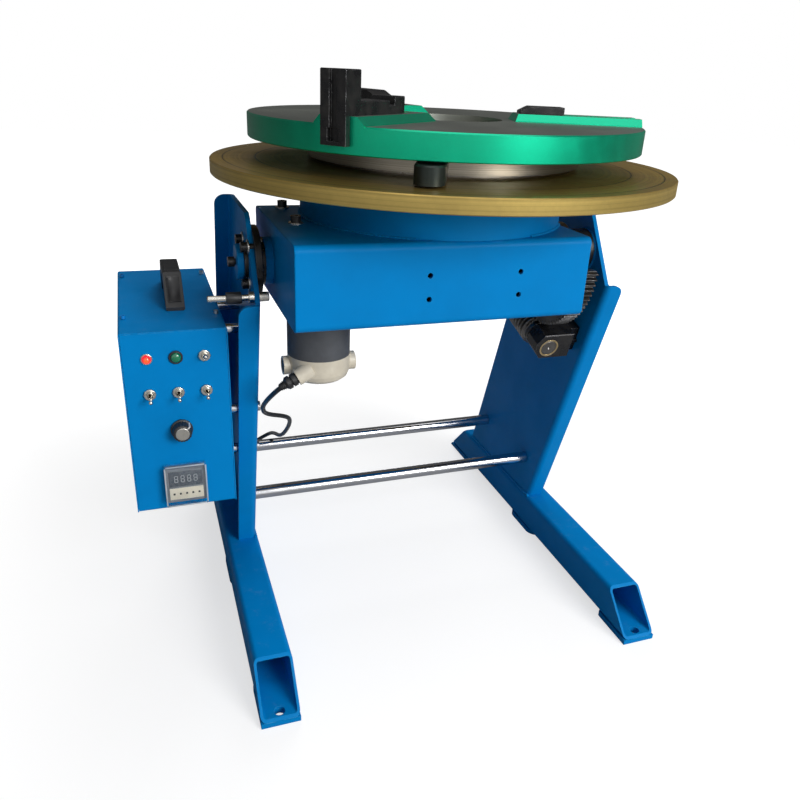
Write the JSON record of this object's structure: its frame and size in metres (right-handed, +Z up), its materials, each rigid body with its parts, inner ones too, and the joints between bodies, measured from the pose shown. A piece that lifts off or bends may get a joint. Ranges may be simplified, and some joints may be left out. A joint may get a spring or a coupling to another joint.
{
  "type": "welding positioner",
  "caption": "Bench welding positioner: a worm-tilted motor turntable with a jaw chuck on a two-post stand, with a control box on one post.",
  "frame": {"origin": "centre of the four floor bolt holes, on the floor plane", "axes": "+Z up; +X to the right along the tilt axis as the operator faces the panel; +Y away from the operator"},
  "size_m": [0.7255, 0.6855, 0.753],
  "materials": {
    "blue_paint": "semi-gloss powder coat",
    "green_paint": "metallic lacquer, satin",
    "chrome_rod": "polished",
    "black_oxide": "black-oxided, lightly oiled",
    "machined_steel": "turned, bare",
    "gold_rim": "turned, yellow passivated",
    "zinc_screw": "bright zinc plated",
    "bronze": "turned",
    "motor_grey": "satin",
    "cream_paint": "satin",
    "black_plastic": "moulded, fine texture",
    "cable_rubber": "matte",
    "red_lens": "glossy lens",
    "green_lens": "glossy",
    "clear_cover": "clear moulded plastic"
  },
  "bodies": {
    "base": {"foot_left": "blue_paint", "foot_right": "blue_paint", "foot_pads": "blue_paint", "post_left": "blue_paint", "post_right": "blue_paint", "tie_rod_front": "chrome_rod", "tie_rod_rear": "chrome_rod", "tie_rod_screws": "black_oxide", "bearing_housing_left": "black_oxide", "bearing_housing_right": "black_oxide", "bearing_screws": "black_oxide", "stop_bolt": "zinc_screw", "worm_block_front": "black_oxide", "worm_block_rear": "black_oxide", "worm_bushes": "bronze", "worm_bracket": "black_oxide", "worm_block_bolts": "black_oxide", "control_box_body": "blue_paint", "control_box_cover": "blue_paint", "control_box_screws": "zinc_screw", "control_box_standoffs": "chrome_rod", "carry_handle": "black_plastic", "signal_lamp": "red_lens", "button_bezel": "black_plastic", "toggle_bushes": "zinc_screw", "timer_body": "black_plastic", "cable_grommets": "black_plastic", "motor_cable": "cable_rubber"},
    "beam": {"beam_box": "blue_paint", "drum_housing": "blue_paint", "spindle_housing": "machined_steel", "stub_shaft_left": "black_oxide", "stub_shaft_right": "black_oxide", "end_cap": "blue_paint", "beam_screws": "black_oxide", "worm_wheel": "machined_steel", "gearbox": "motor_grey", "motor_can": "motor_grey", "motor_end_cap": "cream_paint", "brush_caps": "black_plastic", "motor_gland": "black_plastic"},
    "worm": {"worm_shaft": "machined_steel", "handwheel": "black_oxide"},
    "pinion": {"drive_pinion": "machined_steel"},
    "turntable": {"table_plate": "gold_rim", "spindle": "machined_steel", "spindle_gear": "machined_steel", "chuck_spacer": "machined_steel", "chuck_body": "green_paint"},
    "scroll": {"scroll_ring": "machined_steel"},
    "jaw_tall": {"jaw_1": "black_oxide"},
    "jaw_short": {"jaw_2": "black_oxide"},
    "jaw_low": {"jaw_3": "black_oxide"},
    "toggle_1": {"toggle_lever_1": "zinc_screw"},
    "toggle_2": {"toggle_lever_2": "zinc_screw"},
    "toggle_3": {"toggle_lever_3": "zinc_screw"},
    "toggle_4": {"toggle_lever_4": "zinc_screw"},
    "reset": {"reset_button": "green_lens"},
    "knob": {"speed_knob": "black_plastic"},
    "cover": {"timer_cover": "clear_cover"}
  },
  "joints": [
    {"name": "tilt", "type": "hinge", "parent": "base", "child": "beam", "pos_m": [0, -0.07, 0.525], "axis": [1, 0, 0], "range_deg": [0, 90], "deforming": ["motor_cable"]},
    {"name": "worm_spin", "type": "hinge", "parent": "base", "child": "worm", "pos_m": [0.19, -0.03076, 0.40422], "axis": [0, 0.9511, 0.309], "range_deg": [-7560, 0]},
    {"name": "table_spin", "type": "hinge", "parent": "beam", "child": "turntable", "pos_m": [0.0155, -0.053, 0.6455], "axis": [0, 0, 1], "continuous": true},
    {"name": "pinion_spin", "type": "hinge", "parent": "beam", "child": "pinion", "pos_m": [-0.11338, -0.10638, 0.61], "axis": [0, 0, 1], "continuous": true},
    {"name": "scroll_turn", "type": "hinge", "parent": "turntable", "child": "scroll", "pos_m": [0.0155, -0.053, 0.655], "axis": [0, 0, 1], "range_deg": [0, 60]},
    {"name": "jaw_tall_slide", "type": "slide", "parent": "turntable", "child": "jaw_tall", "axis": [-0.7431, -0.6691, 0], "range_m": [0, 0.03]},
    {"name": "jaw_short_slide", "type": "slide", "parent": "turntable", "child": "jaw_short", "axis": [0.9511, -0.309, 0], "range_m": [0, 0.03]},
    {"name": "jaw_low_slide", "type": "slide", "parent": "turntable", "child": "jaw_low", "axis": [-0.2079, 0.9781, 0], "range_m": [0, 0.03]},
    {"name": "toggle_1_flip", "type": "hinge", "parent": "base", "child": "toggle_1", "pos_m": [-0.311, -0.109, 0.418], "axis": [1, 0, 0], "range_deg": [0, 24]},
    {"name": "toggle_2_flip", "type": "hinge", "parent": "base", "child": "toggle_2", "pos_m": [-0.38, -0.109, 0.371], "axis": [-1, 0, 0], "range_deg": [0, 24]},
    {"name": "toggle_3_flip", "type": "hinge", "parent": "base", "child": "toggle_3", "pos_m": [-0.3455, -0.109, 0.371], "axis": [-1, 0, 0], "range_deg": [0, 24]},
    {"name": "toggle_4_flip", "type": "hinge", "parent": "base", "child": "toggle_4", "pos_m": [-0.311, -0.109, 0.371], "axis": [-1, 0, 0], "range_deg": [0, 24]},
    {"name": "reset_press", "type": "slide", "parent": "base", "child": "reset", "axis": [0, 1, 0], "range_m": [0, 0.0025], "stiffness_N_per_m": 600, "springref_m": -0.001},
    {"name": "speed_turn", "type": "hinge", "parent": "base", "child": "knob", "pos_m": [-0.3455, -0.109, 0.319], "axis": [0, 1, 0], "range_deg": [0, 270]},
    {"name": "cover_open", "type": "hinge", "parent": "base", "child": "cover", "pos_m": [-0.346, -0.1107, 0.2702], "axis": [-1, 0, 0], "range_deg": [0, 90]}
  ],
  "couplings": [
    {"joint": "worm_spin", "follows": "tilt", "ratio": -84},
    {"joint": "pinion_spin", "follows": "table_spin", "ratio": -5.2},
    {"joint": "jaw_tall_slide", "follows": "scroll_turn", "m_per_rad": 0.028645},
    {"joint": "jaw_short_slide", "follows": "scroll_turn", "m_per_rad": 0.028645},
    {"joint": "jaw_low_slide", "follows": "scroll_turn", "m_per_rad": 0.028645}
  ]
}
